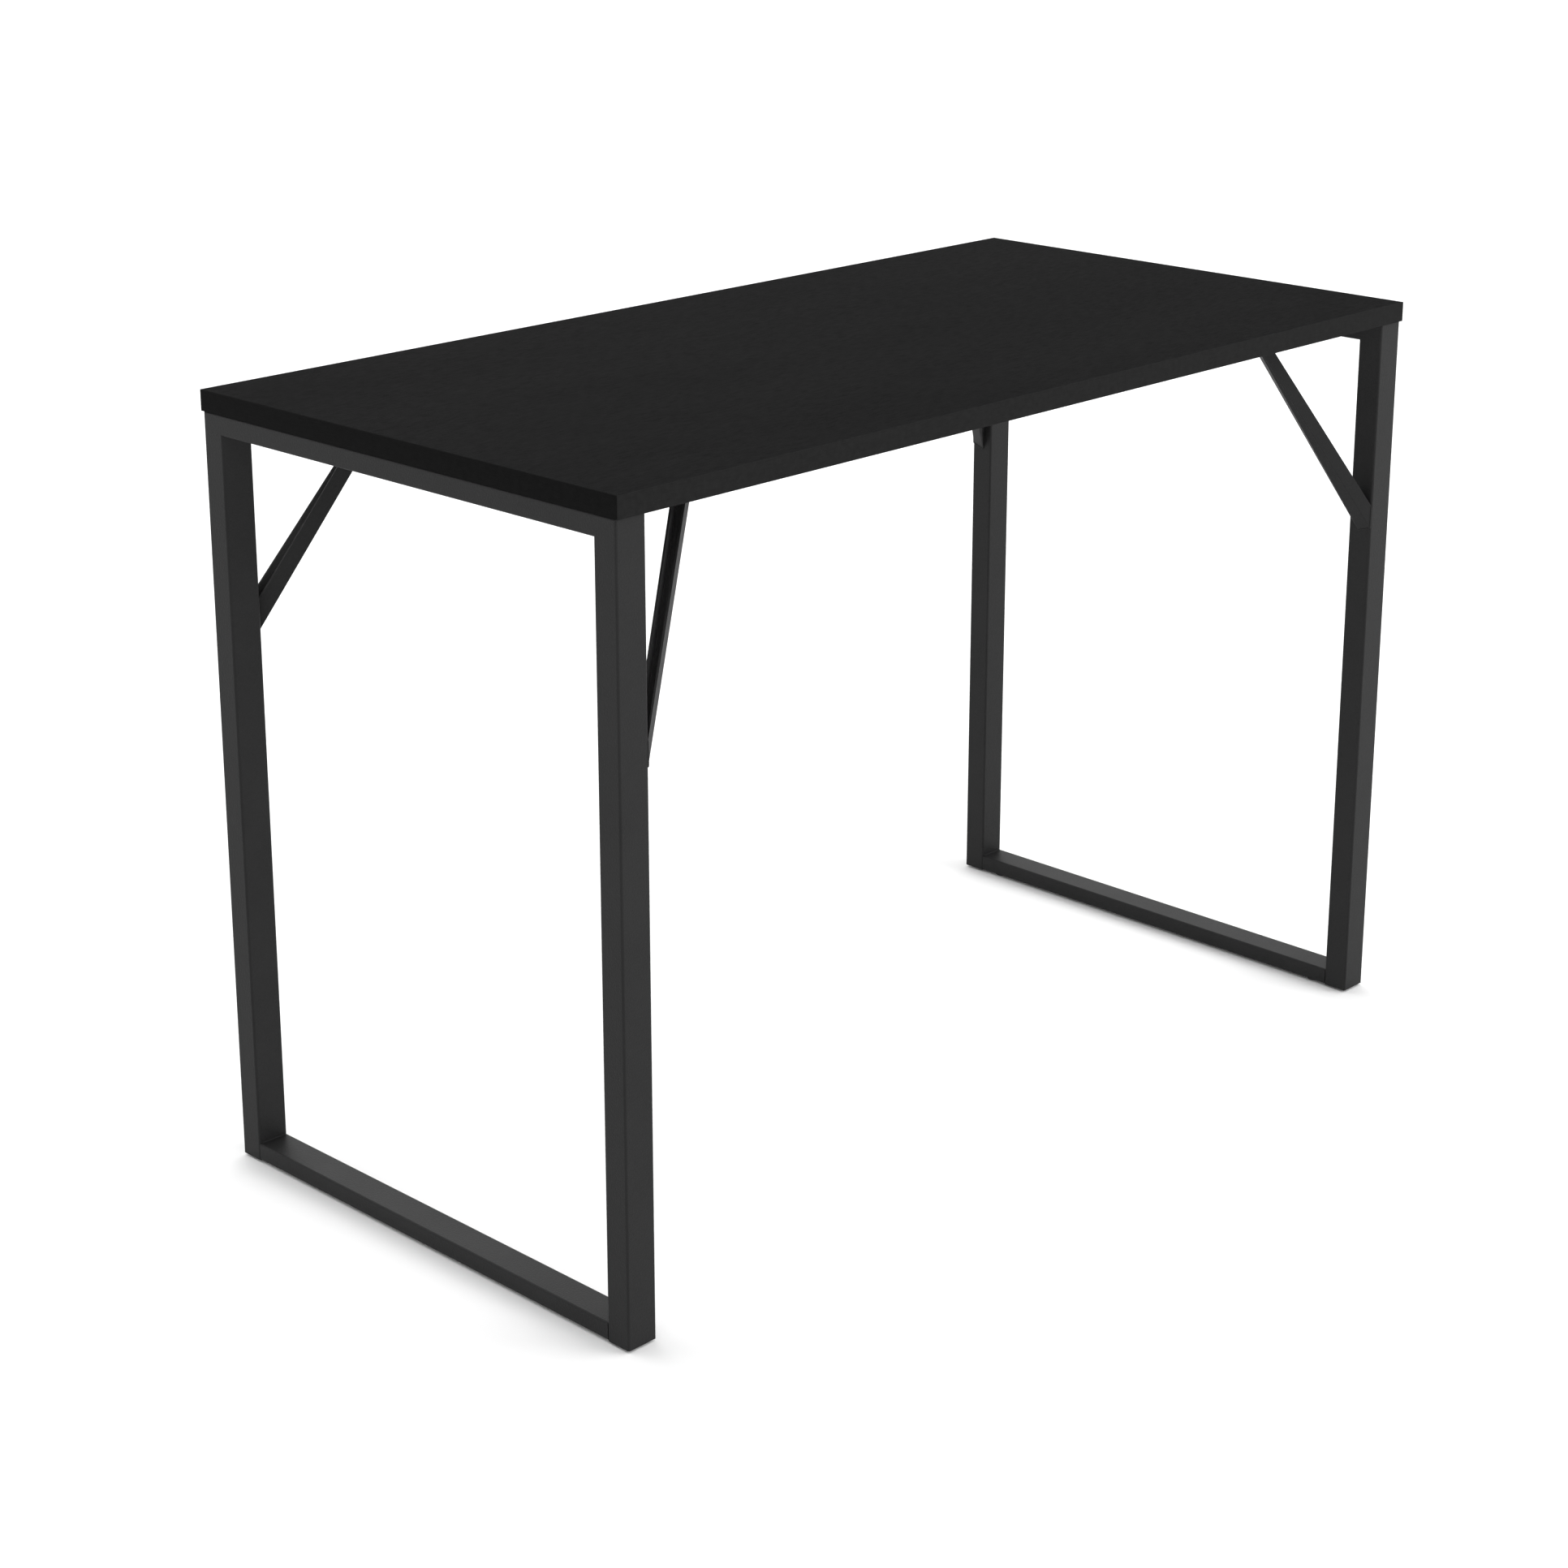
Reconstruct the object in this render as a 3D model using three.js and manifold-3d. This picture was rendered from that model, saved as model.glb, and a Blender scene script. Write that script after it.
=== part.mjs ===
// A plain computer desk: a laminated board on two welded end frames of rectangular steel
// tube, braced to the board by four formed sheet-steel channels. It stands on four low glides.
// Millimetres, +Z up. The floor is z = 0, the long side runs along X, the front faces -Y.

import * as THREE from "three";
import { mergeVertices } from "three/addons/utils/BufferGeometryUtils.js";
import Module from "manifold-3d";

const wasm = await Module();
wasm.setup();

// Board: a particleboard core between two thin sheets, with a band on each edge.
const BOARD_LENGTH = 1100;
const BOARD_DEPTH = 550;
const BOARD_THICKNESS = 20;
const SHEET = 0.75;
const EDGE_BAND = 1;

// Heights above the floor.
const POST_FOOT_Z = 2.5;
const BOTTOM_RAIL_Z = 3;
const FRAME_TOP_Z = 737.5;
const BOARD_TOP_Z = FRAME_TOP_Z + BOARD_THICKNESS;

// End frames: both rails are as wide as the posts along X.
const END_INSET = 0.5;
const SIDE_INSET = 3;
const TUBE_WIDTH = 32.5;
const POST_DEPTH = 26.5;
const TOP_RAIL_HEIGHT = 19;
const BOTTOM_RAIL_HEIGHT = 17;
const TUBE_WALL = 1.25;
const TUBE_CORNER = 2;
const MITRE_GAP = 0.1;

// Where the frame's faces lie, measured from the desk's centre.
const FRAME_OUTER_X = BOARD_LENGTH / 2 - END_INSET;
const FRAME_INNER_X = FRAME_OUTER_X - TUBE_WIDTH;
const FRAME_MIDDLE_X = FRAME_OUTER_X - TUBE_WIDTH / 2;
const POST_OUTER_Y = BOARD_DEPTH / 2 - SIDE_INSET;
const POST_INNER_Y = POST_OUTER_Y - POST_DEPTH;
const POST_MIDDLE_Y = POST_OUTER_Y - POST_DEPTH / 2;

// Braces: each rises from a post's inner face towards the middle of the desk. Its run is
// measured level, from the post's inner vertical edge, in the brace's own plan direction.
const BRACE_PLAN_ANGLE = Math.PI / 6;
const BRACE_WIDTH = 13;
const BRACE_FLANGE = 15.5;
const BRACE_SHEET = 2;
const FOLD_OUTER_RADIUS = 1;
const FOLD_INNER_RADIUS = 0.5;
const BRACE_FOOT_INSET = 0.5;
const BRACE_FOOT_TOP_Z = 547;
const BRACE_FOOT_LOW_OUTER_Z = 523.5;
const BRACE_FOOT_LOW_INNER_Z = 518;
const BRACE_HEAD_NEAR_OUTER = 119;
const BRACE_HEAD_NEAR_INNER = 116.75;
const BRACE_HEAD_FAR = 133;
const TAB_START = 120;
const TAB_HOLE = 147;
const TAB_THICKNESS = 2;

// Fasteners, plugs and glides.
const SCREW_RADIUS = 2;
const SCREW_LENGTH = 16;
const SCREW_TIP = 3;
const SCREW_HEAD_RADIUS = 3.9;
const SCREW_HEAD_HEIGHT = 2.6;
const SCREW_CLEARANCE = 0.4;
const RECESS_LENGTH = 4.6;
const RECESS_WIDTH = 1.1;
const RECESS_DEPTH = 1.5;
const RAIL_SCREW_Y = 150;
const ACCESS_HOLE_RADIUS = 6;
const PLUG_GAP = 0.3;
const PLUG_HEIGHT = 12;
const PLUG_WALL = 1.5;
const GLIDE_RADIUS = 8;
const GLIDE_EDGE = 0.75;
const GLIDE_STEM_RADIUS = 3.7;
const GLIDE_HOLE_RADIUS = 4;
const GLIDE_BARB_RADIUS = 4.8;
const GLIDE_FROM_INNER_FACE = 12;
const GLIDE_FROM_POST = 21;

const ENDS = [["left", -1], ["right", 1]];
const SIDES = [["front", -1], ["back", 1]];

const desk = new THREE.Group();

const material = (color, roughness, metalness) =>
  new THREE.MeshStandardMaterial({ color, roughness, metalness });

const boardBlack = material(0x262626, 0.55, 0);
const bandBlack = material(0x1f1f1f, 0.5, 0);
const coreBrown = material(0xa88a64, 0.9, 0);
const powderBlack = material(0x2b2b2b, 0.5, 0.3);
const plasticBlack = material(0x151515, 0.6, 0);
const zincSteel = material(0x8d8f92, 0.35, 1);

function addPiece(name, geometry, surface, x = 0, y = 0, z = 0) {
  const mesh = new THREE.Mesh(geometry, surface);
  mesh.name = name;
  mesh.position.set(x, y, z);
  desk.add(mesh);
  return mesh;
}

// Booleans.

function toSolid(geometry) {
  const bare = geometry.clone();
  bare.deleteAttribute("normal");
  bare.deleteAttribute("uv");
  const merged = mergeVertices(bare, 1e-4);
  return new wasm.Manifold(new wasm.Mesh({
    numProp: 3,
    vertProperties: new Float32Array(merged.attributes.position.array),
    triVerts: new Uint32Array(merged.index.array),
  }));
}

function toGeometry(solid) {
  const mesh = solid.getMesh();
  const geometry = new THREE.BufferGeometry();
  geometry.setAttribute("position", new THREE.BufferAttribute(mesh.vertProperties, 3));
  geometry.setIndex(new THREE.BufferAttribute(mesh.triVerts, 1));
  geometry.computeVertexNormals();
  return geometry;
}

function cut(geometry, tools) {
  const solid = tools.reduce((rest, tool) => rest.subtract(toSolid(tool)), toSolid(geometry));
  return toGeometry(solid);
}

// Basic shapes.

function block(low, high) {
  const size = high.map((value, axis) => value - low[axis]);
  const geometry = new THREE.BoxGeometry(...size);
  geometry.translate(...low.map((value, axis) => value + size[axis] / 2));
  return geometry;
}

function drill(radius, x, y, lowZ, highZ) {
  const geometry = new THREE.CylinderGeometry(radius, radius, highZ - lowZ, 24);
  geometry.rotateX(Math.PI / 2);
  geometry.translate(x, y, (lowZ + highZ) / 2);
  return geometry;
}

function roundedRectangle(path, width, height, radius) {
  const x = width / 2;
  const y = height / 2;
  path.moveTo(x - radius, -y);
  path.absarc(x - radius, radius - y, radius, -Math.PI / 2, 0);
  path.absarc(x - radius, y - radius, radius, 0, Math.PI / 2);
  path.absarc(radius - x, y - radius, radius, Math.PI / 2, Math.PI);
  path.absarc(radius - x, radius - y, radius, Math.PI, 1.5 * Math.PI);
  path.closePath();
  return path;
}

// A rectangular tube along Z from 0 to length, centred on its axis.
function tube(width, height, length) {
  const section = roundedRectangle(new THREE.Shape(), width, height, TUBE_CORNER);
  const inside = [width - 2 * TUBE_WALL, height - 2 * TUBE_WALL, TUBE_CORNER - TUBE_WALL];
  section.holes.push(roundedRectangle(new THREE.Path(), ...inside));
  return new THREE.ExtrudeGeometry(section, { depth: length, bevelEnabled: false, curveSegments: 4 });
}

// Moves the vertices at one end of an extrusion along it, by a rule of where they are.
function shearEnd(geometry, axis, isEnd, place) {
  const points = geometry.attributes.position;
  for (let i = 0; i < points.count; i += 1) {
    const point = new THREE.Vector3().fromBufferAttribute(points, i);
    if (isEnd(point)) {
      point[axis] = place(point);
      points.setXYZ(i, point.x, point.y, point.z);
    }
  }
  return geometry;
}

// Board.

function screwPlaces() {
  const places = [];
  for (const [, endSign] of ENDS) {
    for (const [, sideSign] of SIDES) {
      places.push([endSign * FRAME_MIDDLE_X, sideSign * RAIL_SCREW_Y]);
      const [x, y] = braceToDesk(endSign, sideSign, TAB_HOLE, braceMiddle());
      places.push([x, y]);
    }
  }
  return places;
}

function addBoard() {
  const innerX = BOARD_LENGTH / 2 - EDGE_BAND;
  const innerY = BOARD_DEPTH / 2 - EDGE_BAND;
  const coreLowZ = FRAME_TOP_Z + SHEET;
  const coreHighZ = BOARD_TOP_Z - SHEET;
  const holeRadius = SCREW_RADIUS + SCREW_CLEARANCE;
  const holeTopZ = FRAME_TOP_Z + SCREW_LENGTH;
  const holes = screwPlaces().map(([x, y]) => drill(holeRadius, x, y, FRAME_TOP_Z - 1, holeTopZ));

  const core = block([-innerX, -innerY, coreLowZ], [innerX, innerY, coreHighZ]);
  const backing = block([-innerX, -innerY, FRAME_TOP_Z], [innerX, innerY, coreLowZ]);
  const decor = block([-innerX, -innerY, coreHighZ], [innerX, innerY, BOARD_TOP_Z]);
  addPiece("board_core", cut(core, holes), coreBrown);
  addPiece("backing_sheet", cut(backing, holes), boardBlack);
  addPiece("top_sheet", decor, boardBlack);

  for (const [side, sign] of SIDES) {
    const band = new THREE.BoxGeometry(BOARD_LENGTH, EDGE_BAND, BOARD_THICKNESS);
    const y = sign * (BOARD_DEPTH / 2 - EDGE_BAND / 2);
    addPiece(`edge_band_${side}`, band, bandBlack, 0, y, FRAME_TOP_Z + BOARD_THICKNESS / 2);
  }
  for (const [end, sign] of ENDS) {
    const band = new THREE.BoxGeometry(EDGE_BAND, 2 * innerY, BOARD_THICKNESS);
    const x = sign * (BOARD_LENGTH / 2 - EDGE_BAND / 2);
    addPiece(`edge_band_${end}`, band, bandBlack, x, 0, FRAME_TOP_Z + BOARD_THICKNESS / 2);
  }
}

// End frames.

// A full-height post whose top end is mitred to the top rail.
function postGeometry(sideSign) {
  const height = FRAME_TOP_Z - POST_FOOT_Z;
  const slope = TOP_RAIL_HEIGHT / POST_DEPTH;
  const mitre = ({ y }) => height - MITRE_GAP / 2 - (POST_DEPTH / 2 - sideSign * y) * slope;
  const geometry = tube(TUBE_WIDTH, POST_DEPTH, height);
  return shearEnd(geometry, "z", ({ z }) => z > height / 2, mitre);
}

// The top rail along Y, mitred at both ends, with its screw and driver holes.
function topRailGeometry() {
  const geometry = tube(TUBE_WIDTH, TOP_RAIL_HEIGHT, 2 * POST_OUTER_Y);
  geometry.rotateX(Math.PI / 2);
  geometry.translate(0, POST_OUTER_Y, -TOP_RAIL_HEIGHT / 2);
  const slope = POST_DEPTH / TOP_RAIL_HEIGHT;
  const reach = ({ z }) => POST_OUTER_Y - MITRE_GAP / 2 + z * slope;
  shearEnd(geometry, "y", ({ y }) => y > 0, reach);
  shearEnd(geometry, "y", ({ y }) => y < 0, (point) => -reach(point));

  const tools = SIDES.flatMap(([, sign]) => [
    drill(ACCESS_HOLE_RADIUS, 0, sign * RAIL_SCREW_Y, -TOP_RAIL_HEIGHT - 1, -TOP_RAIL_HEIGHT / 2),
    drill(SCREW_RADIUS + SCREW_CLEARANCE, 0, sign * RAIL_SCREW_Y, -TOP_RAIL_HEIGHT / 2, 1),
  ]);
  return cut(geometry, tools);
}

// The bottom rail along Y, butted between the posts, with a hole for each glide's stem.
function bottomRailGeometry(endSign) {
  const geometry = tube(TUBE_WIDTH, BOTTOM_RAIL_HEIGHT, 2 * POST_INNER_Y);
  geometry.rotateX(Math.PI / 2);
  geometry.translate(0, POST_INNER_Y, BOTTOM_RAIL_HEIGHT / 2);
  const holeX = glideX(endSign) - endSign * FRAME_MIDDLE_X;
  const tools = SIDES.map(([, sign]) =>
    drill(GLIDE_HOLE_RADIUS, holeX, sign * glideY(), -1, BOTTOM_RAIL_HEIGHT / 2));
  return cut(geometry, tools);
}

function addFrames() {
  for (const [end, endSign] of ENDS) {
    const x = endSign * FRAME_MIDDLE_X;
    for (const [side, sideSign] of SIDES) {
      const y = sideSign * POST_MIDDLE_Y;
      addPiece(`post_${side}_${end}`, postGeometry(sideSign), powderBlack, x, y, POST_FOOT_Z);
    }
    addPiece(`top_rail_${end}`, topRailGeometry(), powderBlack, x, 0, FRAME_TOP_Z);
    addPiece(`bottom_rail_${end}`, bottomRailGeometry(endSign), powderBlack, x, 0, BOTTOM_RAIL_Z);
  }
}

// Braces.

// How far the outer flange's outer face lies to the outer side of the post's inner edge,
// square to the brace's plan direction.
function braceOuterOffset() {
  return (POST_DEPTH - BRACE_FOOT_INSET) * Math.cos(BRACE_PLAN_ANGLE);
}

function braceMiddle() {
  return BRACE_WIDTH / 2 - braceOuterOffset();
}

// A place along and across a brace, in plan, as desk X and Y.
function braceToDesk(endSign, sideSign, along, across) {
  const inwardX = along * Math.cos(BRACE_PLAN_ANGLE) - across * Math.sin(BRACE_PLAN_ANGLE);
  const inwardY = along * Math.sin(BRACE_PLAN_ANGLE) + across * Math.cos(BRACE_PLAN_ANGLE);
  return [endSign * (FRAME_INNER_X - inwardX), sideSign * (POST_INNER_Y - inwardY)];
}

// The channel's section: across the width, and up the flanges from the folded web.
function channelSection() {
  const outer = FOLD_OUTER_RADIUS;
  const inner = FOLD_INNER_RADIUS;
  const inside = BRACE_SHEET + inner;
  const section = new THREE.Shape();
  section.moveTo(0, BRACE_FLANGE);
  section.lineTo(0, outer);
  section.absarc(outer, outer, outer, Math.PI, 1.5 * Math.PI);
  section.absarc(BRACE_WIDTH - outer, outer, outer, 1.5 * Math.PI, 2 * Math.PI);
  section.lineTo(BRACE_WIDTH, BRACE_FLANGE);
  section.lineTo(BRACE_WIDTH - BRACE_SHEET, BRACE_FLANGE);
  section.absarc(BRACE_WIDTH - inside, inside, inner, 0, -Math.PI / 2, true);
  section.absarc(inside, inside, inner, -Math.PI / 2, -Math.PI, true);
  section.lineTo(BRACE_SHEET, BRACE_FLANGE);
  section.closePath();
  return section;
}

// Where a point of the section meets the post's face, at the brace's foot.
function footPoint(endSign, sideSign, width, rise) {
  const across = width - braceOuterOffset();
  const along = across * Math.tan(BRACE_PLAN_ANGLE);
  const [, y] = braceToDesk(endSign, sideSign, along, across);
  const { lerp } = THREE.MathUtils;
  const lowZ = lerp(BRACE_FOOT_LOW_OUTER_Z, BRACE_FOOT_LOW_INNER_Z, width / BRACE_WIDTH);
  const z = lerp(lowZ, BRACE_FOOT_TOP_Z, rise / BRACE_FLANGE);
  return new THREE.Vector3(endSign * FRAME_INNER_X, y, z);
}

// Where the same point meets the board's underside, at the brace's head.
function headPoint(endSign, sideSign, width, rise) {
  const { lerp } = THREE.MathUtils;
  const near = lerp(BRACE_HEAD_NEAR_OUTER, BRACE_HEAD_NEAR_INNER, width / BRACE_WIDTH);
  const along = lerp(BRACE_HEAD_FAR, near, rise / BRACE_FLANGE);
  const [x, y] = braceToDesk(endSign, sideSign, along, width - braceOuterOffset());
  return new THREE.Vector3(x, y, FRAME_TOP_Z);
}

// Turns a geometry's faces over, which a piece placed by mirroring needs.
function turnFaces(geometry) {
  const points = geometry.attributes.position;
  const swap = new THREE.Vector3();
  const last = new THREE.Vector3();
  for (let i = 0; i < points.count; i += 3) {
    swap.fromBufferAttribute(points, i + 1);
    last.fromBufferAttribute(points, i + 2);
    points.setXYZ(i + 1, last.x, last.y, last.z);
    points.setXYZ(i + 2, swap.x, swap.y, swap.z);
  }
  return geometry;
}

// The folded channel, from the post's face to the board's underside.
function channelGeometry(endSign, sideSign) {
  const options = { depth: 1, bevelEnabled: false, curveSegments: 4 };
  const geometry = new THREE.ExtrudeGeometry(channelSection(), options);
  const points = geometry.attributes.position;
  for (let i = 0; i < points.count; i += 1) {
    const end = points.getZ(i) < 0.5 ? footPoint : headPoint;
    const place = end(endSign, sideSign, points.getX(i), points.getY(i));
    points.setXYZ(i, place.x, place.y, place.z);
  }
  return endSign === sideSign ? geometry : turnFaces(geometry);
}

// The flat tab that the channel's web turns into under the board, with its round end.
function tabGeometry(endSign, sideSign) {
  const radius = BRACE_WIDTH / 2;
  const outline = new THREE.Shape();
  outline.moveTo(TAB_START, -radius);
  outline.absarc(TAB_HOLE, 0, radius, -Math.PI / 2, Math.PI / 2);
  outline.lineTo(TAB_START, radius);
  outline.closePath();
  const hole = new THREE.Path();
  hole.absarc(TAB_HOLE, 0, SCREW_RADIUS + SCREW_CLEARANCE, 0, 2 * Math.PI);
  outline.holes.push(hole);
  const options = { depth: TAB_THICKNESS, bevelEnabled: false, curveSegments: 12 };
  const geometry = new THREE.ExtrudeGeometry(outline, options);
  const points = geometry.attributes.position;
  for (let i = 0; i < points.count; i += 1) {
    const across = points.getY(i) + braceMiddle();
    const [x, y] = braceToDesk(endSign, sideSign, points.getX(i), across);
    points.setXYZ(i, x, y, FRAME_TOP_Z - TAB_THICKNESS + points.getZ(i));
  }
  return endSign === sideSign ? geometry : turnFaces(geometry);
}

function addBraces() {
  for (const [end, endSign] of ENDS) {
    for (const [side, sideSign] of SIDES) {
      const channel = toSolid(channelGeometry(endSign, sideSign));
      const tab = toSolid(tabGeometry(endSign, sideSign));
      addPiece(`brace_${side}_${end}`, toGeometry(channel.add(tab)), powderBlack);
    }
  }
}

// Fasteners, plugs and glides.

// A pan-head wood screw pointing up, its head's seat at z = 0, with a cross recess below.
function screwGeometry() {
  const dome = 0.6 * SCREW_HEAD_HEIGHT;
  const profile = [
    new THREE.Vector2(0, -SCREW_HEAD_HEIGHT),
    new THREE.Vector2(0.7 * SCREW_HEAD_RADIUS, -SCREW_HEAD_HEIGHT),
    new THREE.Vector2(SCREW_HEAD_RADIUS, -dome),
    new THREE.Vector2(SCREW_HEAD_RADIUS, 0),
    new THREE.Vector2(SCREW_RADIUS, 0),
    new THREE.Vector2(SCREW_RADIUS, SCREW_LENGTH - SCREW_TIP),
    new THREE.Vector2(0, SCREW_LENGTH),
  ];
  const body = new THREE.LatheGeometry(profile, 16);
  body.rotateX(Math.PI / 2);
  const floorZ = RECESS_DEPTH - SCREW_HEAD_HEIGHT;
  const half = [RECESS_LENGTH / 2, RECESS_WIDTH / 2];
  const low = -SCREW_HEAD_HEIGHT - 1;
  const slots = [half, [...half].reverse()].map(([x, y]) => block([-x, -y, low], [x, y, floorZ]));
  return cut(body, slots);
}

function addScrews() {
  for (const [end, endSign] of ENDS) {
    for (const [side, sideSign] of SIDES) {
      const railSeatZ = FRAME_TOP_Z - TUBE_WALL;
      const railX = endSign * FRAME_MIDDLE_X;
      const railY = sideSign * RAIL_SCREW_Y;
      addPiece(`rail_screw_${side}_${end}`, screwGeometry(), zincSteel, railX, railY, railSeatZ);
      const [x, y] = braceToDesk(endSign, sideSign, TAB_HOLE, braceMiddle());
      const tabSeatZ = FRAME_TOP_Z - TAB_THICKNESS;
      addPiece(`brace_screw_${side}_${end}`, screwGeometry(), zincSteel, x, y, tabSeatZ);
    }
  }
}

// A cup pushed into the foot of a post, its closed end flush with the tube's end.
function plugGeometry() {
  const width = TUBE_WIDTH - 2 * TUBE_WALL - 2 * PLUG_GAP;
  const depth = POST_DEPTH - 2 * TUBE_WALL - 2 * PLUG_GAP;
  const options = { depth: PLUG_HEIGHT, bevelEnabled: false, curveSegments: 3 };
  const outer = roundedRectangle(new THREE.Shape(), width, depth, TUBE_CORNER);
  const inner = [width - 2 * PLUG_WALL, depth - 2 * PLUG_WALL, TUBE_CORNER / 2];
  const hollow = roundedRectangle(new THREE.Shape(), ...inner);
  const tool = new THREE.ExtrudeGeometry(hollow, options);
  tool.translate(0, 0, PLUG_WALL);
  return cut(new THREE.ExtrudeGeometry(outer, options), [tool]);
}

function glideX(endSign) {
  return endSign * (FRAME_INNER_X + GLIDE_FROM_INNER_FACE);
}

function glideY() {
  return POST_INNER_Y - GLIDE_FROM_POST;
}

// A low round glide with a barbed stem that snaps into the bottom rail from below.
function glideGeometry() {
  const wallTop = BOTTOM_RAIL_Z + TUBE_WALL;
  const barbLow = wallTop + 0.35;
  const profile = [
    new THREE.Vector2(0, 0),
    new THREE.Vector2(GLIDE_RADIUS - GLIDE_EDGE, 0),
    new THREE.Vector2(GLIDE_RADIUS - 0.3 * GLIDE_EDGE, 0.3 * GLIDE_EDGE),
    new THREE.Vector2(GLIDE_RADIUS, GLIDE_EDGE),
    new THREE.Vector2(GLIDE_RADIUS, BOTTOM_RAIL_Z),
    new THREE.Vector2(GLIDE_STEM_RADIUS, BOTTOM_RAIL_Z),
    new THREE.Vector2(GLIDE_STEM_RADIUS, barbLow),
    new THREE.Vector2(GLIDE_BARB_RADIUS, barbLow),
    new THREE.Vector2(GLIDE_BARB_RADIUS, barbLow + 1),
    new THREE.Vector2(0.6 * GLIDE_STEM_RADIUS, barbLow + 5),
    new THREE.Vector2(0, barbLow + 5),
  ];
  const geometry = new THREE.LatheGeometry(profile, 24);
  geometry.rotateX(Math.PI / 2);
  return geometry;
}

function addFeet() {
  for (const [end, endSign] of ENDS) {
    for (const [side, sideSign] of SIDES) {
      const postX = endSign * FRAME_MIDDLE_X;
      const postY = sideSign * POST_MIDDLE_Y;
      addPiece(`post_plug_${side}_${end}`, plugGeometry(), plasticBlack, postX, postY, POST_FOOT_Z);
      const y = sideSign * glideY();
      addPiece(`glide_${side}_${end}`, glideGeometry(), plasticBlack, glideX(endSign), y, 0);
    }
  }
}

addBoard();
addFrames();
addBraces();
addScrews();
addFeet();

export default desk;
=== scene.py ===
"""Looks for a small black desk: a laminated board on two welded tube frames with four braces.

Every CAD node stays in place and gets a procedural material. The edge bands are replaced by bands
with trimmed edges, and the welds that the CAD leaves out are added. Lengths are in metres.
"""

import math

import bmesh
import bpy
from mathutils import Matrix, Vector, noise


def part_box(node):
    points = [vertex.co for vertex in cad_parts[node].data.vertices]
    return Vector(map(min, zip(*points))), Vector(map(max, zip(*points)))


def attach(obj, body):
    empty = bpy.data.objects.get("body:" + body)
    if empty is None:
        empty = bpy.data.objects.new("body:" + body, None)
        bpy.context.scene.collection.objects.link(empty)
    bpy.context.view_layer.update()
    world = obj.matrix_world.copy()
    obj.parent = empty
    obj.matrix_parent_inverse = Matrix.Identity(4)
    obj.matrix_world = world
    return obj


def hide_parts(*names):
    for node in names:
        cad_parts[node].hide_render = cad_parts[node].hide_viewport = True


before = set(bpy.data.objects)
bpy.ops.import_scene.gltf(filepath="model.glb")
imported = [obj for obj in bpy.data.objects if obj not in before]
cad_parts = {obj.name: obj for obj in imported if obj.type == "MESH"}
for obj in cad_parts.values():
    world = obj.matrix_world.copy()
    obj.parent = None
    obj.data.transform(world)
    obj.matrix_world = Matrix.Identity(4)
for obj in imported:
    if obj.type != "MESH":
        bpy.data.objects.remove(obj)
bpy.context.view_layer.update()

MM = 0.001
BODY = "root"
ENDS = ("left", "right")
SIDES = ("front", "back")
X, Y = 0, 1


# ---------------------------------------------------------------- camera

CAMERA_PLACE = (-2.168, -2.023, 1.375)
CAMERA_HEADING = 44.07      # degrees from +X towards +Y
CAMERA_PITCH = 16.95        # degrees below the horizon
CAMERA_LENS = 72.0
CAMERA_SENSOR = 36.0
CAMERA_SHIFT = -0.10        # shares of the frame; it straightens the upright lines a little
CAMERA_NEAR = 0.05
CAMERA_FAR = 200.0


def aim(thing, forward):
    """Turns a camera or a lamp so that it faces along forward."""
    thing.rotation_euler = forward.to_track_quat("-Z", "Y").to_euler()


def make_camera():
    data = bpy.data.cameras.new("camera")
    data.lens = CAMERA_LENS
    data.sensor_width = CAMERA_SENSOR
    data.shift_y = CAMERA_SHIFT
    data.clip_start = CAMERA_NEAR
    data.clip_end = CAMERA_FAR
    camera = bpy.data.objects.new("camera", data)
    camera.location = CAMERA_PLACE
    heading, pitch = math.radians(CAMERA_HEADING), math.radians(CAMERA_PITCH)
    level = math.cos(pitch)
    aim(camera, Vector((math.cos(heading) * level, math.sin(heading) * level, -math.sin(pitch))))
    bpy.context.scene.collection.objects.link(camera)
    bpy.context.scene.camera = camera


# ---------------------------------------------------------------- material helpers

MIX_A, MIX_B, MIX_RESULT = 6, 7, 2     # the colour sockets of a Mix node, whose names are not unique
BEVEL_SAMPLES = 4
FOLD_SAMPLES = 6
EDGE_TURN = (0.03, 0.35)               # how much a normal turns where an edge starts and is complete
FOLD_OPENNESS = (0.35, 0.9)            # how open a point is deep in a fold and out of it


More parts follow.
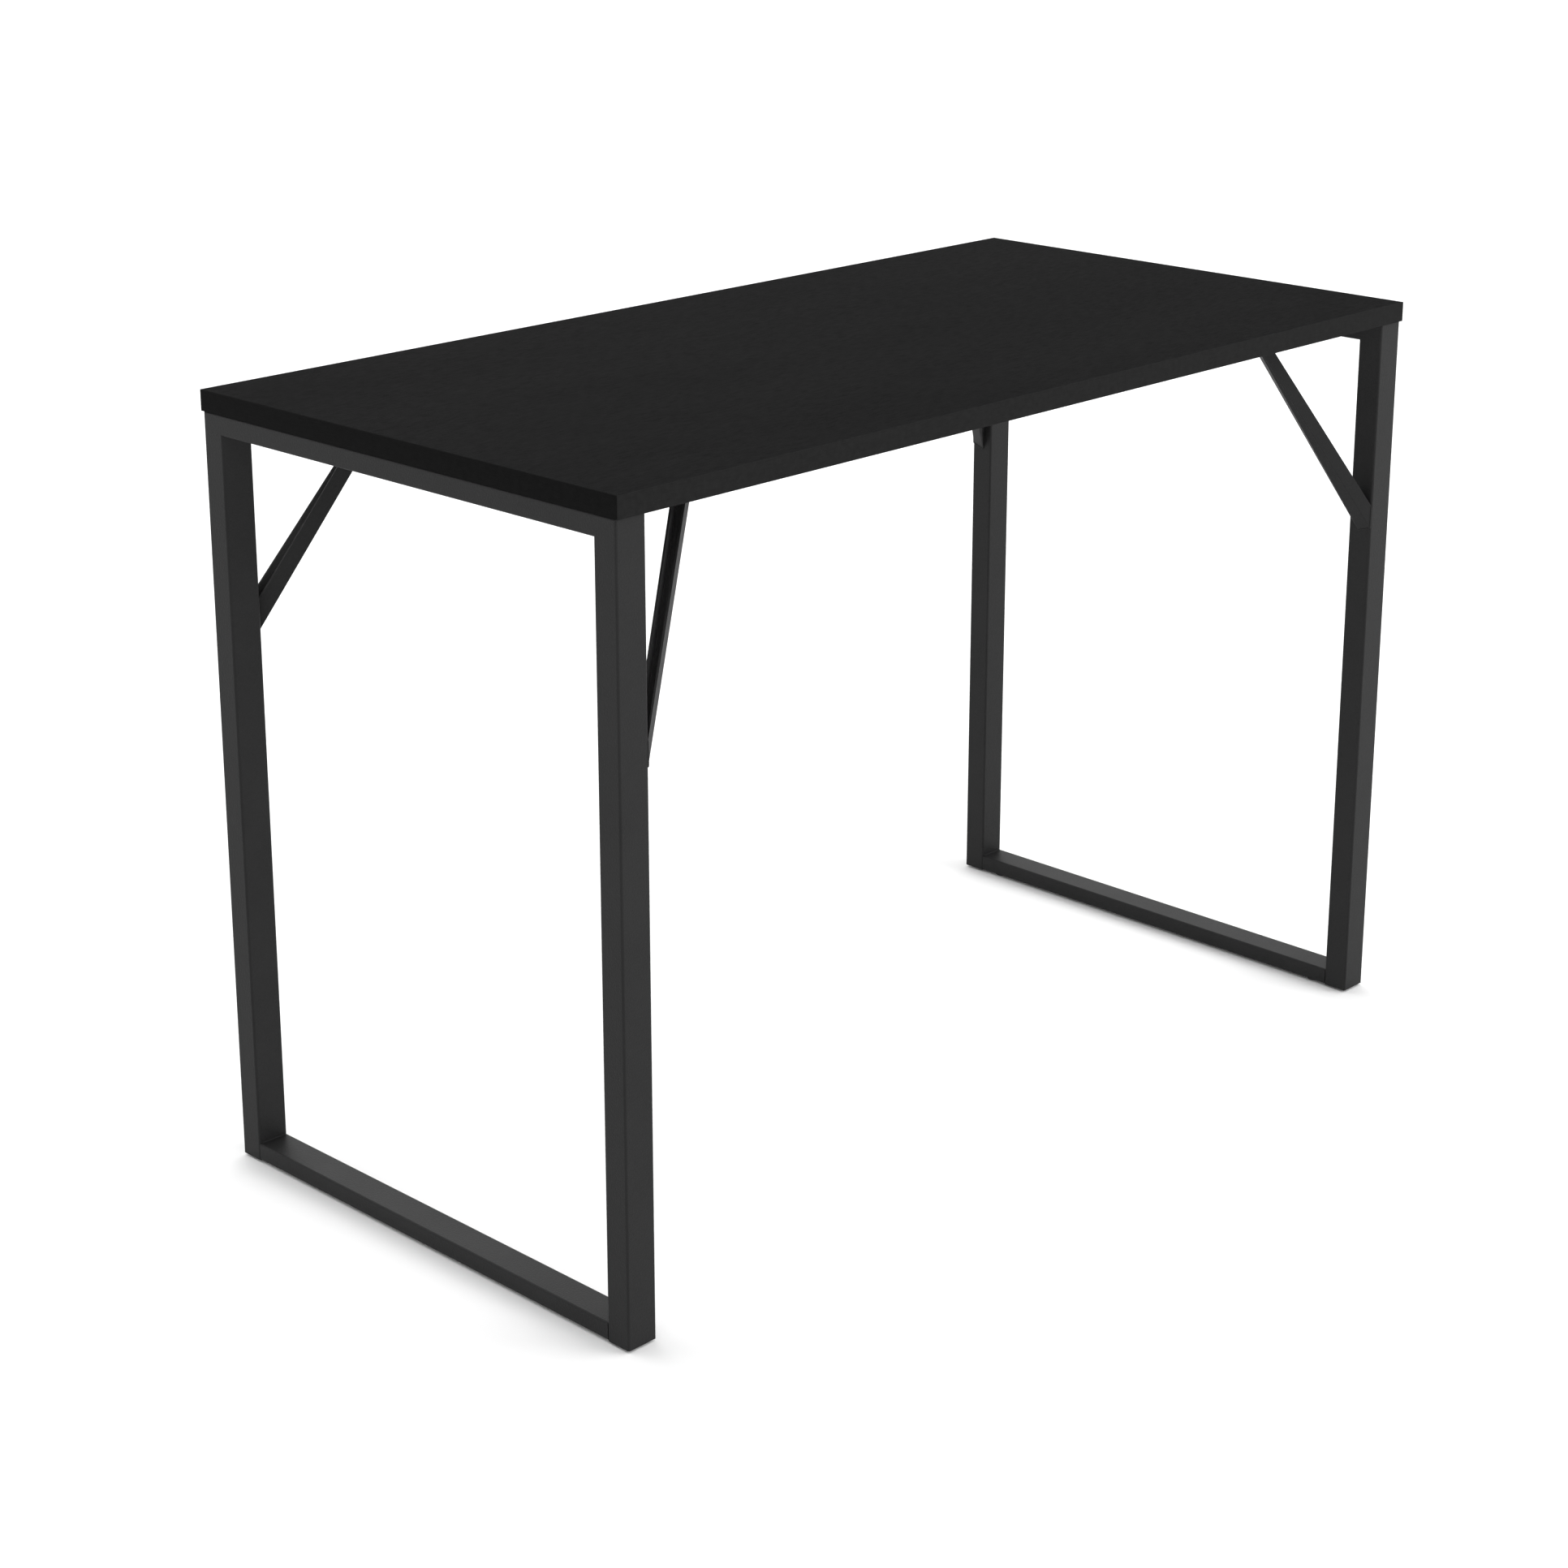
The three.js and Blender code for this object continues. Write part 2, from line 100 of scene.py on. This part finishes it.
class Recipe:
    """A material's node tree, with short calls for the nodes that the recipes below share.

    Textures follow object coordinates. Every piece's origin is the desk's, so they are in metres and
    run on from one piece to the next.
    """

    def __init__(self, name):
        self.material = bpy.data.materials.new(name)
        self.material.use_nodes = True
        self.tree = self.material.node_tree
        self.tree.nodes.clear()
        self.shader = self.add("ShaderNodeBsdfPrincipled")
        out = self.add("ShaderNodeOutputMaterial")
        self.link(self.shader.outputs["BSDF"], out.inputs["Surface"])
        self.place = self.add("ShaderNodeTexCoord").outputs["Object"]

    def add(self, kind, **settings):
        node = self.tree.nodes.new(kind)
        for key, value in settings.items():
            setattr(node, key, value)
        return node

    def link(self, start, end):
        self.tree.links.new(start, end)

    def stretched(self, scale):
        """Object coordinates multiplied by scale along each axis."""
        node = self.add("ShaderNodeMapping")
        node.inputs["Scale"].default_value = scale
        self.link(self.place, node.inputs["Vector"])
        return node.outputs["Vector"]

    def noise(self, scale, detail, rough=0.5, along=None):
        """Noise whose features are about 1 / scale metres wide, in plain or stretched coordinates."""
        node = self.add("ShaderNodeTexNoise")
        node.inputs["Scale"].default_value = scale
        node.inputs["Detail"].default_value = detail
        node.inputs["Roughness"].default_value = rough
        self.link(along or self.place, node.inputs["Vector"])
        return node.outputs["Fac"]

    def cells(self, scale, along, feature="F1"):
        """The node of a cell pattern whose cells are about 1 / scale metres wide."""
        node = self.add("ShaderNodeTexVoronoi", feature=feature)
        node.inputs["Scale"].default_value = scale
        self.link(along, node.inputs["Vector"])
        return node

    def spread(self, value, low, high, to_low=0.0, to_high=1.0):
        """Maps value from low..high to to_low..to_high, held at the ends."""
        node = self.add("ShaderNodeMapRange")
        for key, number in (("From Min", low), ("From Max", high), ("To Min", to_low), ("To Max", to_high)):
            node.inputs[key].default_value = number
        self.link(value, node.inputs["Value"])
        return node.outputs["Result"]

    def math(self, operation, first, second):
        """A sum, difference or product of numbers or sockets."""
        node = self.add("ShaderNodeMath", operation=operation)
        for socket, value in zip(node.inputs, (first, second)):
            if isinstance(value, (int, float)):
                socket.default_value = value
            else:
                self.link(value, socket)
        return node.outputs["Value"]

    def mix(self, amount, first, second):
        """Colour between first and second, which are RGB triples or sockets."""
        node = self.add("ShaderNodeMix", data_type="RGBA")
        self.link(amount, node.inputs["Factor"])
        for socket, value in ((node.inputs[MIX_A], first), (node.inputs[MIX_B], second)):
            if isinstance(value, tuple):
                socket.default_value = (*value, 1.0)
            else:
                self.link(value, socket)
        return node.outputs[MIX_RESULT]

    def edges(self, radius):
        """1 along convex and concave edges, 0 on the flats, from how much a rounded normal turns."""
        bevel = self.add("ShaderNodeBevel", samples=BEVEL_SAMPLES)
        bevel.inputs["Radius"].default_value = radius
        geometry = self.add("ShaderNodeNewGeometry")
        dot = self.add("ShaderNodeVectorMath", operation="DOT_PRODUCT")
        self.link(bevel.outputs["Normal"], dot.inputs[0])
        self.link(geometry.outputs["Normal"], dot.inputs[1])
        turned = self.math("SUBTRACT", 1.0, dot.outputs["Value"])
        return self.spread(turned, *EDGE_TURN)

    def folds(self, reach):
        """1 deep in the piece's own folds, 0 on its open faces, judged within reach."""
        node = self.add("ShaderNodeAmbientOcclusion", samples=FOLD_SAMPLES, only_local=True)
        node.inputs["Distance"].default_value = reach
        return self.spread(node.outputs["AO"], *FOLD_OPENNESS, 1.0, 0.0)

    def bump(self, height, depth, below=None):
        """A normal raised by depth where height is 1, on top of the bump below."""
        node = self.add("ShaderNodeBump")
        node.inputs["Distance"].default_value = depth
        self.link(height, node.inputs["Height"])
        if below is not None:
            self.link(below, node.inputs["Normal"])
        return node.outputs["Normal"]

    def finish(self, colour, roughness, normal, **fixed):
        """Links the shader's inputs, sets the fixed ones and returns the material."""
        self.link(colour, self.shader.inputs["Base Color"])
        self.link(roughness, self.shader.inputs["Roughness"])
        self.link(normal, self.shader.inputs["Normal"])
        for key, value in fixed.items():
            self.shader.inputs[key.replace("_", " ")].default_value = value
        return self.material


# ---------------------------------------------------------------- materials


def powder_coat(name, wear_and_sheen):
    """Satin black powder coat: orange peel 1 to 2 mm wide with a finer grain.

    Sharp edges are lighter, as far as the second argument asks: partly a thinner coat, partly a
    painted highlight. Deep in folds the colour is lighter too: painted light that brightens the
    inside of the brace channels beyond what the lamps give.
    """
    r = Recipe(name)
    patches = r.noise(14, detail=4)
    peel = r.noise(650, detail=2, rough=0.45)
    grain = r.noise(2600, detail=3, rough=0.6)
    dark, light = (0.0170, 0.0170, 0.0172), (0.0204, 0.0204, 0.0206)
    speck, pit = (0.0286, 0.0286, 0.029), (0.0108, 0.0108, 0.011)
    painted_fill_light, thin_coat_and_sheen = (0.088, 0.088, 0.0885), (0.052, 0.052, 0.0525)
    body = r.mix(r.spread(patches, 0.35, 0.65), dark, light)
    body = r.mix(r.spread(grain, 0.5, 0.72, 0.0, 0.6), body, speck)
    body = r.mix(r.spread(grain, 0.5, 0.3, 0.0, 0.5), body, pit)
    # painted fill light: the colour is lighter deep in folds, where the lamps reach little
    body = r.mix(r.folds(16 * MM), body, painted_fill_light)
    # sharp edges lighter: partly a thinner coat there, partly a painted highlight along them
    worn_and_sheen = r.math("MULTIPLY", r.edges(1.2 * MM), r.spread(grain, 0.35, 0.7, 0.0, wear_and_sheen))
    colour = r.mix(worn_and_sheen, body, thin_coat_and_sheen)
    rough = r.math("ADD", r.spread(patches, 0.3, 0.7, 0.42, 0.49), r.spread(grain, 0.3, 0.7, -0.04, 0.05))
    normal = r.bump(peel, 0.22 * MM)
    normal = r.bump(grain, 0.07 * MM, below=normal)
    return r.finish(colour, rough, normal, Specular_IOR_Level=0.09)


def laminate():
    """Matte black melamine: a fine pressed pore texture along the board, faintly cloudy."""
    r = Recipe("laminate_black")
    pores = r.noise(1500, detail=4, rough=0.62, along=r.stretched((0.05, 1.0, 1.0)))
    clouds = r.noise(9, detail=4, rough=0.55, along=r.stretched((0.35, 1.0, 1.0)))
    grit = r.noise(3400, detail=2, rough=0.6)
    dark, light = (0.0084, 0.0084, 0.0085), (0.0101, 0.0101, 0.0102)
    pore, speck = (0.0048, 0.0048, 0.0049), (0.0165, 0.0165, 0.0167)
    body = r.mix(r.spread(clouds, 0.3, 0.7), dark, light)
    body = r.mix(r.spread(pores, 0.54, 0.66, 0.0, 0.75), body, pore)
    colour = r.mix(r.spread(grit, 0.52, 0.75, 0.0, 0.6), body, speck)
    rough = r.math("ADD", r.spread(pores, 0.4, 0.66, 0.56, 0.74), r.spread(grit, 0.3, 0.7, -0.04, 0.05))
    normal = r.bump(r.spread(pores, 0.62, 0.5), 0.06 * MM)
    normal = r.bump(grit, 0.06 * MM, below=normal)
    return r.finish(colour, rough, normal, Specular_IOR_Level=0.002)


def edge_band(name, tone):
    """Matte ABS band of this grey: fine lengthwise extrusion lines, a soft mottle, scraped edges."""
    r = Recipe(name)
    mottle = r.noise(160, detail=3, rough=0.6)
    lines = r.noise(1700, detail=3, rough=0.55, along=r.stretched((0.03, 0.03, 1.0)))
    grain = r.noise(3400, detail=2, rough=0.6)
    dark, light, line, speck, scraped = ((tone * level,) * 3 for level in (0.90, 1.09, 0.63, 1.44, 1.56))
    body = r.mix(r.spread(mottle, 0.35, 0.65), dark, light)
    body = r.mix(r.spread(lines, 0.54, 0.7, 0.0, 0.6), body, line)
    body = r.mix(r.spread(grain, 0.52, 0.75, 0.0, 0.5), body, speck)
    colour = r.mix(r.math("MULTIPLY", r.edges(0.5 * MM), 0.5), body, scraped)
    rough = r.math("ADD", r.spread(mottle, 0.3, 0.7, 0.54, 0.64), r.spread(grain, 0.3, 0.7, -0.03, 0.04))
    normal = r.bump(lines, 0.08 * MM)
    normal = r.bump(grain, 0.05 * MM, below=normal)
    return r.finish(colour, rough, normal, Specular_IOR_Level=0.006)


def particleboard():
    """Raw pressed chips: flat flakes about 4 mm across in two wood tones, with darker gaps."""
    r = Recipe("particleboard_raw")
    flat = r.stretched((1.0, 1.0, 3.0))
    chips = r.cells(260, flat)
    gaps = r.cells(260, flat, "DISTANCE_TO_EDGE")
    fibres = r.noise(900, detail=4, rough=0.6, along=r.stretched((0.3, 1.0, 2.0)))
    dark, light = (0.25, 0.15, 0.07), (0.52, 0.37, 0.2)
    fibre, gap = (0.36, 0.24, 0.12), (0.1, 0.06, 0.03)
    body = r.mix(r.spread(chips.outputs["Color"], 0.15, 0.85), dark, light)
    body = r.mix(r.spread(fibres, 0.35, 0.7, 0.0, 0.5), body, fibre)
    colour = r.mix(r.spread(gaps.outputs["Distance"], 0.0, 0.06, 0.7, 0.0), body, gap)
    rough = r.spread(fibres, 0.3, 0.7, 0.78, 0.92)
    normal = r.bump(r.spread(gaps.outputs["Distance"], 0.0, 0.1), 0.25 * MM)
    normal = r.bump(fibres, 0.08 * MM, below=normal)
    return r.finish(colour, rough, normal, Specular_IOR_Level=0.3)


def black_plastic():
    """Moulded black nylon with a fine spark-eroded grain, scuffed along its edges."""
    r = Recipe("plastic_black")
    grain = r.noise(2400, detail=3, rough=0.55)
    scuffs = r.noise(420, detail=4, rough=0.7)
    dark, light, scuffed = (0.011, 0.011, 0.011), (0.017, 0.017, 0.017), (0.05, 0.05, 0.05)
    body = r.mix(r.spread(scuffs, 0.35, 0.7), dark, light)
    colour = r.mix(r.math("MULTIPLY", r.edges(0.6 * MM), r.spread(scuffs, 0.4, 0.65)), body, scuffed)
    rough = r.spread(grain, 0.3, 0.7, 0.48, 0.62)
    return r.finish(colour, rough, r.bump(grain, 0.03 * MM), Specular_IOR_Level=0.45)


def zinc_plate():
    """Bright zinc on a cold-formed screw: faint yellow and blue bloom, fine turning marks."""
    r = Recipe("zinc_bright")
    bloom = r.noise(320, detail=3, rough=0.6)
    marks = r.noise(3600, detail=2, along=r.stretched((1.0, 1.0, 0.25)))
    yellow, blue, rubbed = (0.5, 0.5, 0.46), (0.58, 0.6, 0.64), (0.75, 0.76, 0.78)
    body = r.mix(r.spread(bloom, 0.3, 0.7), yellow, blue)
    colour = r.mix(r.math("MULTIPLY", r.edges(0.5 * MM), 0.6), body, rubbed)
    rough = r.spread(marks, 0.3, 0.7, 0.26, 0.4)
    return r.finish(colour, rough, r.bump(marks, 0.015 * MM), Metallic=1.0)


BAND_GREY = 0.0168
PAINTED_SHADE_END_GREY = 0.0080                 # the two short bands are painted darker: painted shade, matching the shaded left end

FINISHES = {
    "powder_coat": powder_coat("coat_black", wear_and_sheen=1.0),
    "laminate": laminate(),
    "edge_band": edge_band("edge_band_black", BAND_GREY),
    "particleboard": particleboard(),
    "black_plastic": black_plastic(),
    "zinc_plate": zinc_plate(),
}
WELD_COAT = powder_coat("coat_black_weld", wear_and_sheen=0.0)     # a round bead has no sharp edge to wear or to carry the painted edge highlight
# the short bands' finish: its darker grey is painted shade
PAINTED_SHADE_END_BAND = edge_band("edge_band_end_black", PAINTED_SHADE_END_GREY)


def finish_nodes():
    """Gives each CAD node the finish named by its material slot in model.glb."""
    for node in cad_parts.values():
        for slot in node.material_slots:
            name = slot.material.name.split(".")[0]      # Blender may add .001 to a repeated name
            slot.material = FINISHES[name]


# ---------------------------------------------------------------- pieces

BAND_RADIUS = 0.7 * MM         # trimmed outer edges of the edge bands
BAND_ROUNDING = 4              # flats that each trimmed edge is made of
BAND_SEAM = 0.15 * MM          # chamfer along the glue seams
SMOOTH_ANGLE = math.radians(30)
SAME_PLACE = 0.001 * MM        # points closer than this count as one


def add_piece(name, bm, slot, replaced=(), finish=None):
    """Turns a finished bmesh into a piece that rides on the desk, with the slot's finish or its own."""
    bmesh.ops.recalc_face_normals(bm, faces=bm.faces)
    mesh = bpy.data.meshes.new(name)
    bm.to_mesh(mesh)
    bm.free()
    mesh.shade_smooth()
    mesh.set_sharp_from_angle(angle=SMOOTH_ANGLE)
    mesh.materials.append(finish or FINISHES[slot])
    piece = bpy.data.objects.new(name, mesh)
    bpy.context.scene.collection.objects.link(piece)
    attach(piece, BODY)
    if replaced:
        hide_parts(*replaced)


def edges_on(bm, axis, value):
    """The edges whose two ends both have this coordinate."""
    return [e for e in bm.edges if all(abs(v.co[axis] - value) < SAME_PLACE for v in e.verts)]


def round_edges(bm, edges, radius, segments):
    bmesh.ops.bevel(
        bm, geom=edges, offset=radius, segments=segments, profile=0.5, affect="EDGES", clamp_overlap=True
    )


def make_edge_band(side, axis, finish=None):
    """A glued band: its outer edges trimmed round, its glue seams broken by a hairline chamfer."""
    node = f"edge_band_{side}"
    low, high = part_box(node)
    middle, size = (low + high) / 2, high - low
    outer, inner = (high, low) if middle[axis] > 0 else (low, high)
    bm = bmesh.new()
    bmesh.ops.create_cube(bm, size=1.0)
    place = Matrix.Translation(middle) @ Matrix.Diagonal((*size, 1.0))
    bmesh.ops.transform(bm, matrix=place, verts=bm.verts)
    round_edges(bm, edges_on(bm, axis, outer[axis]), BAND_RADIUS, BAND_ROUNDING)
    round_edges(bm, edges_on(bm, axis, inner[axis]), BAND_SEAM, 1)
    add_piece(f"band_{side}", bm, "edge_band", [node], finish)


# ---------------------------------------------------------------- welds

TUBE_CORNER = 2.0 * MM         # outer corner radius of the posts
FILLET_RADIUS = 0.9 * MM       # weld fillets, ground small before coating
FILLET_RIPPLE = 0.06           # shares of a bead's size by which ripples change it
FOOT_BEAD_RADIUS = 0.8 * MM
FOOT_RIPPLE = 0.08
FOOT_INSET = 0.03              # how far the foot bead sinks towards the foot's middle, as a share
GROUND_HALF_WIDTH = 1.2 * MM   # a weld ground flush
GROUND_RISE = 0.05 * MM
GROUND_SINK = 0.03 * MM
GROUND_RIPPLE = 0.08
GROUND_SPAN = (0.07, 0.93)     # the part of the mitre line that lies on the flat of the tube
BEAD_STEP = 0.35 * MM
FEWEST_STEPS = 4
RIPPLE_PITCH = 1.7 * MM
WOBBLE_SCALE = 600             # uneven swellings about 1 / 600 metre long
END_THICKNESS = 0.02           # square of a bead's thickness at its very ends, as a share
RING = 14                      # points round a bead
TOP_BAND = 0.1 * MM            # outline points this near the top belong to the flanges' tops
ROUNDED_TO = 6                 # decimals of a metre


def resample(points, step):
    """Points at an even spacing of about step along a polyline, and the polyline's length."""
    lengths = [0.0]
    for start, end in zip(points, points[1:]):
        lengths.append(lengths[-1] + (end - start).length)
    count = max(FEWEST_STEPS, round(lengths[-1] / step))
    found, k = [], 0
    for i in range(count + 1):
        want = lengths[-1] * i / count
        while k < len(points) - 2 and lengths[k + 1] < want:
            k += 1
        share = (want - lengths[k]) / (lengths[k + 1] - lengths[k])
        found.append(points[k].lerp(points[k + 1], min(1.0, share)))
    return found, lengths[-1]


def add_bead(bm, points, out, wide, rise, ripple):
    """Sweeps a rippled oval along points; out is the direction its crown faces.

    wide and rise are the oval's half width and half height. Both ends are rounded off.
    """
    path, length = resample(points, BEAD_STEP)
    rings = []
    for i, centre in enumerate(path):
        ahead, behind = path[min(i + 1, len(path) - 1)], path[max(i - 1, 0)]
        along = (ahead - behind).normalized()
        across = along.cross(out).normalized()
        crown = across.cross(along).normalized()
        s = length * i / (len(path) - 1)
        from_end = min(s, length - s) / max(wide, rise)
        taper = math.sqrt(max(END_THICKNESS, 1 - max(0.0, 1 - from_end) ** 2))
        wave = 1 + ripple * math.sin(2 * math.pi * s / RIPPLE_PITCH)
        wave += ripple * noise.noise(centre * WOBBLE_SCALE)
        ring = []
        for k in range(RING):
            turn = 2 * math.pi * k / RING
            offset = across * math.cos(turn) * wide * wave + crown * math.sin(turn) * rise * wave
            ring.append(bm.verts.new(centre + offset * taper))
        rings.append(ring)
    for first, second in zip(rings, rings[1:]):
        for k in range(RING):
            n = (k + 1) % RING
            bm.faces.new((first[k], first[n], second[n], second[k]))
    bm.faces.new(rings[0])
    bm.faces.new(rings[-1])


def make_frame_welds(end, side):
    """The welds of one post with its two rails: fillets inside the corners, a mitre ground flush."""
    post_low, post_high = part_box(f"post_{side}_{end}")
    rail_low, rail_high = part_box(f"top_rail_{end}")
    foot_low, foot_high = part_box(f"bottom_rail_{end}")
    if side == "front":
        outer_y, inner_y, inward = post_low.y, post_high.y, 1
    else:
        outer_y, inner_y, inward = post_high.y, post_low.y, -1
    x_start, x_end = post_low.x + TUBE_CORNER, post_high.x - TUBE_CORNER

    bm = bmesh.new()
    for z, up in ((rail_low.z, -1), (foot_high.z, 1), (foot_low.z, -1)):
        line = [Vector((x_start, inner_y, z)), Vector((x_end, inner_y, z))]
        add_bead(bm, line, Vector((0, inward, up)), FILLET_RADIUS, FILLET_RADIUS, FILLET_RIPPLE)
    add_piece(f"corner_welds_{side}_{end}", bm, "powder_coat", finish=WELD_COAT)

    bm = bmesh.new()
    inner_corner = Vector((0, inner_y, rail_low.z))
    outer_corner = Vector((0, outer_y, rail_high.z))
    for x, out in ((post_low.x, -1), (post_high.x, 1)):
        sunk = Vector((x - out * GROUND_SINK, 0, 0))
        line = [inner_corner.lerp(outer_corner, share) + sunk for share in GROUND_SPAN]
        add_bead(bm, line, Vector((out, 0, 0)), GROUND_HALF_WIDTH, GROUND_RISE, GROUND_RIPPLE)
    add_piece(f"mitre_weld_{side}_{end}", bm, "powder_coat", finish=WELD_COAT)


def convex_hull(points):
    """Convex hull of sorted 2-D points, by the monotone chain."""
    def turn(a, b, c):
        return (b[0] - a[0]) * (c[1] - a[1]) - (b[1] - a[1]) * (c[0] - a[0])

    def half(ordered):
        chain = []
        for p in ordered:
            while len(chain) > 1 and turn(chain[-2], chain[-1], p) <= 0:
                chain.pop()
            chain.append(p)
        return chain[:-1]

    return half(points) + half(points[::-1])


def foot_outline(node, plane_x):
    """The outer side of a brace's foot where it meets the post, from one flange's top to the other's."""
    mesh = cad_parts[node].data
    touching = [v.co for v in mesh.vertices if abs(v.co.x - plane_x) < 10 * SAME_PLACE]
    points = {(round(co.y, ROUNDED_TO), round(co.z, ROUNDED_TO)) for co in touching}
    middle = Vector((sum(p[0] for p in points), sum(p[1] for p in points))) / len(points)
    hull = convex_hull(sorted(points))
    # in the order of the turn from straight down, so that the outline runs along the underside
    hull.sort(key=lambda p: math.atan2(p[0] - middle.x, middle.y - p[1]))
    top = max(p[1] for p in hull)
    lower = [p for p in hull if p[1] < top - TOP_BAND]
    tops = [p for p in hull if p[1] >= top - TOP_BAND]
    chain = [min(tops), *lower, max(tops)]
    inset = [Vector(p).lerp(middle, FOOT_INSET) for p in chain]
    return [Vector((plane_x, p.x, p.y)) for p in inset]


def make_foot_weld(end, side):
    """The bead round the outside of a brace's foot, on the post's inner face."""
    low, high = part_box(f"brace_{side}_{end}")
    plane_x, out = (low.x, 1) if end == "left" else (high.x, -1)
    bm = bmesh.new()
    outline = foot_outline(f"brace_{side}_{end}", plane_x)
    add_bead(bm, outline, Vector((out, 0, 0)), FOOT_BEAD_RADIUS, FOOT_BEAD_RADIUS, FOOT_RIPPLE)
    add_piece(f"foot_weld_{side}_{end}", bm, "powder_coat", finish=WELD_COAT)


def make_pieces():
    for side in SIDES:
        make_edge_band(side, Y)
    for end in ENDS:
        # the short bands take the darker grey, which is painted shade
        make_edge_band(end, X, PAINTED_SHADE_END_BAND)
        for side in SIDES:
            make_frame_welds(end, side)
            make_foot_weld(end, side)


# ---------------------------------------------------------------- stage

FLOOR_SIZE = 60.0
FLOOR_TONES = ((0.94, 0.94, 0.94), (0.96, 0.96, 0.96))
FLOOR_ROUGHNESS = 0.9
FLOOR_SPECULAR = 0.1

LAMP_PLACE = (3.1, -4.3, 3.0)
LAMP_TARGET = (0.1, 0, 0.4)
LAMP_SIZE = (2.9, 2.2)
LAMP_POWER = 94                # watts

FILL_LIGHT = 0.2               # the dome's light in every direction
DOME_LOBES = (                 # direction, the cosines between which the light rises, its strength
    ((0.45, -0.55, 0.70), (-0.1, 0.98), 1.0),        # key, high on the front right
    ((0.68, 0.64, 0.36), (0.2, 0.95), 0.85),         # backdrop, behind on the right
    ((-0.05, 0.95, 0.25), (0.5, 0.97), 1.4),         # rim, low behind
    ((-0.84, 0.36, 0.40), (0.25, 0.95), 0.40),       # side, on the left
)
BACKDROP_SEEN = 1.0            # the plain white that the camera sees past the floor


def make_floor():
    mesh = bpy.data.meshes.new("floor")
    half = FLOOR_SIZE / 2
    corners = [(-half, -half, 0), (half, -half, 0), (half, half, 0), (-half, half, 0)]
    mesh.from_pydata(corners, [], [(0, 1, 2, 3)])
    floor = bpy.data.objects.new("floor", mesh)
    bpy.context.scene.collection.objects.link(floor)
    r = Recipe("floor_pale")
    r.link(r.mix(r.noise(0.4, detail=2), *FLOOR_TONES), r.shader.inputs["Base Color"])
    r.shader.inputs["Roughness"].default_value = FLOOR_ROUGHNESS
    r.shader.inputs["Specular IOR Level"].default_value = FLOOR_SPECULAR
    mesh.materials.append(r.material)


def make_lamp():
    """A large soft lamp on the front right, hidden from the camera."""
    data = bpy.data.lights.new("key", "AREA")
    data.shape = "RECTANGLE"
    data.size, data.size_y = LAMP_SIZE
    data.energy = LAMP_POWER
    lamp = bpy.data.objects.new("key", data)
    lamp.visible_camera = False
    lamp.location = LAMP_PLACE
    aim(lamp, Vector(LAMP_TARGET) - Vector(LAMP_PLACE))
    bpy.context.scene.collection.objects.link(lamp)


def add_lobe(tree, direction, side, rise, strength):
    """Light that grows as direction turns towards side."""
    dot = tree.nodes.new("ShaderNodeVectorMath")
    dot.operation = "DOT_PRODUCT"
    dot.inputs[1].default_value = Vector(side).normalized()
    tree.links.new(direction, dot.inputs[0])
    lobe = tree.nodes.new("ShaderNodeMapRange")
    lobe.interpolation_type = "SMOOTHSTEP"
    lobe.inputs["From Min"].default_value, lobe.inputs["From Max"].default_value = rise
    lobe.inputs["To Max"].default_value = strength
    tree.links.new(dot.outputs["Value"], lobe.inputs["Value"])
    return lobe.outputs["Result"]


def make_dome():
    """Soft studio light all round: a fill and four broad lobes. The camera itself sees plain white."""
    world = bpy.data.worlds.new("studio")
    bpy.context.scene.world = world
    world.use_nodes = True
    tree = world.node_tree
    direction = tree.nodes.new("ShaderNodeTexCoord").outputs["Generated"]
    total = tree.nodes.new("ShaderNodeValue").outputs["Value"]
    total.default_value = FILL_LIGHT
    for side, rise, strength in DOME_LOBES:
        plus = tree.nodes.new("ShaderNodeMath")
        tree.links.new(total, plus.inputs[0])
        tree.links.new(add_lobe(tree, direction, side, rise, strength), plus.inputs[1])
        total = plus.outputs["Value"]
    seen = tree.nodes.new("ShaderNodeMix")
    light_path = tree.nodes.new("ShaderNodeLightPath")
    tree.links.new(light_path.outputs["Is Camera Ray"], seen.inputs["Factor"])
    tree.links.new(total, seen.inputs["A"])
    seen.inputs["B"].default_value = BACKDROP_SEEN
    background = tree.nodes["Background"]
    background.inputs["Color"].default_value = (1, 1, 1, 1)
    tree.links.new(seen.outputs["Result"], background.inputs["Strength"])


def set_view():
    """Shows the tones as they are, with no film curve."""
    view = bpy.context.scene.view_settings
    view.view_transform = "Standard"
    view.look = "None"


# ---------------------------------------------------------------- build

make_camera()
make_floor()
make_dome()
make_lamp()
set_view()
finish_nodes()
make_pieces()
